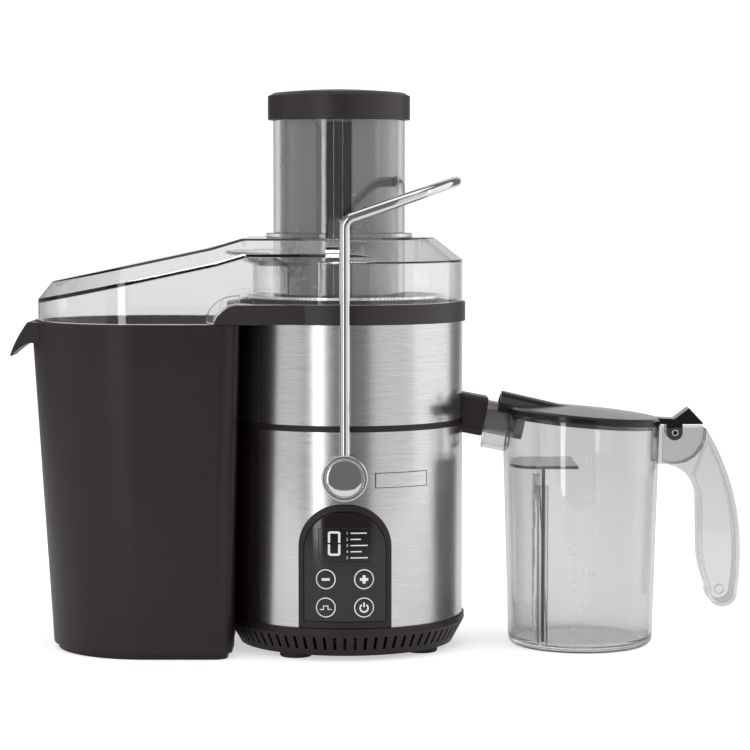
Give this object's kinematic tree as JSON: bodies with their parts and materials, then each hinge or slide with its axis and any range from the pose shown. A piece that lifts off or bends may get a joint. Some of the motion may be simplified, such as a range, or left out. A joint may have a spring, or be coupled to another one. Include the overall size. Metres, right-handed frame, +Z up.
{
  "type": "centrifugal juicer",
  "caption": "Centrifugal juicer with a steel motor body, clear cover and feed chute, wire locking arm, pulp container and lidded juice jug.",
  "frame": {"origin": "centre of the overall footprint on the surface it stands on", "axes": "+X towards the juice jug, +Z up, the control panel faces -Y"},
  "size_m": [0.5072, 0.188, 0.3868],
  "materials": {
    "black_housing": "satin moulded black",
    "black_gloss": "glossy black",
    "black_satin": "fine satin black",
    "brushed_wrap": "brushed round the body",
    "bright_bar": "polished",
    "clear_plastic": "clear",
    "smoked_plastic": "smoked, translucent",
    "grey_clear": "greyish, translucent",
    "foot_rubber": "matt",
    "steel_plain": "plain turned steel",
    "steel_mesh": "perforated sheet",
    "laminations": "stacked sheets",
    "copper": "enamelled winding wire",
    "alloy": "die cast",
    "carbon": "graphite",
    "white_nylon": "moulded nylon",
    "board_green": "circuit board",
    "button_black": "glossy black"
  },
  "bodies": {
    "base": {"feet": "foot_rubber", "bottom_plate": "black_housing", "foot_screws": "steel_plain", "base_ring": "black_satin", "housing_core": "black_housing", "lower_steel_wrap": "brushed_wrap", "seam_band": "black_satin", "upper_steel_wrap": "brushed_wrap", "badge_plate": "brushed_wrap", "motor_mounts": "foot_rubber", "lower_bracket": "alloy", "motor_screws": "steel_plain", "stator": "laminations", "field_coils": "copper", "upper_bracket": "alloy", "lower_bearing": "steel_plain", "upper_bearing": "steel_plain", "carbon_brushes": "carbon", "brush_holders": "white_nylon", "shaft_seal": "foot_rubber", "juice_bowl": "black_satin", "spout_socket": "black_satin", "spout_nozzle": "grey_clear", "juice_cover": "clear_plastic", "feed_chute": "clear_plastic", "arm_pivot_pins": "steel_plain", "pivot_nuts": "steel_plain", "panel_bezel": "black_satin", "panel_face": "black_gloss", "display_lens": "black_gloss", "control_board": "board_green", "tact_switches": "carbon", "display_module": "white_nylon", "interlock_switch": "carbon", "mains_gland": "foot_rubber"},
    "rotor": {"motor_shaft": "steel_plain", "commutator": "copper", "armature": "laminations", "armature_windings": "copper", "cooling_fan": "white_nylon", "drive_coupling": "white_nylon", "basket_hub": "white_nylon", "filter_basket": "steel_mesh", "grater_disc": "steel_mesh"},
    "pusher": {"pusher_body": "smoked_plastic", "pusher_cap": "black_satin"},
    "arm": {"locking_arm": "bright_bar", "arm_hubs": "black_satin", "arm_hub_caps": "bright_bar"},
    "pulp_bin": {"pulp_container": "black_satin"},
    "jug": {"jug_body": "clear_plastic", "jug_handle": "clear_plastic", "lid_pin": "black_gloss", "froth_separator": "smoked_plastic"},
    "lid": {"jug_lid": "black_gloss"},
    "minus_button": {"button_minus": "button_black"},
    "plus_button": {"button_plus": "button_black"},
    "pulse_button": {"button_pulse": "button_black"},
    "power_button": {"button_power": "button_black"}
  },
  "joints": [
    {"name": "arm_swing", "type": "hinge", "parent": "base", "child": "arm", "pos_m": [-0.0208, 0, 0.1257], "axis": [0, 1, 0], "range_deg": [0, 55]},
    {"name": "rotor_spin", "type": "hinge", "parent": "base", "child": "rotor", "pos_m": [-0.0208, 0, 0.1], "axis": [0, 0, 1], "continuous": true},
    {"name": "pusher_lift", "type": "slide", "parent": "base", "child": "pusher", "axis": [0, 0, 1], "range_m": [0, 0.165]},
    {"name": "bin_slide", "type": "slide", "parent": "base", "child": "pulp_bin", "axis": [-1, 0, 0], "range_m": [0, 0.15]},
    {"name": "jug_slide", "type": "slide", "parent": "base", "child": "jug", "axis": [1, 0, 0], "range_m": [0, 0.12]},
    {"name": "lid_hinge", "type": "hinge", "parent": "jug", "child": "lid", "pos_m": [0.2078, 0, 0.149], "axis": [0, 1, 0], "range_deg": [0, 80]},
    {"name": "minus_press", "type": "slide", "parent": "base", "child": "minus_button", "axis": [0, 1, 0], "range_m": [0, 0.001], "stiffness_N_per_m": 400, "springref_m": -0.002},
    {"name": "plus_press", "type": "slide", "parent": "base", "child": "plus_button", "axis": [0, 1, 0], "range_m": [0, 0.001], "stiffness_N_per_m": 400, "springref_m": -0.002},
    {"name": "pulse_press", "type": "slide", "parent": "base", "child": "pulse_button", "axis": [0, 1, 0], "range_m": [0, 0.001], "stiffness_N_per_m": 400, "springref_m": -0.002},
    {"name": "power_press", "type": "slide", "parent": "base", "child": "power_button", "axis": [0, 1, 0], "range_m": [0, 0.001], "stiffness_N_per_m": 400, "springref_m": -0.002}
  ]
}
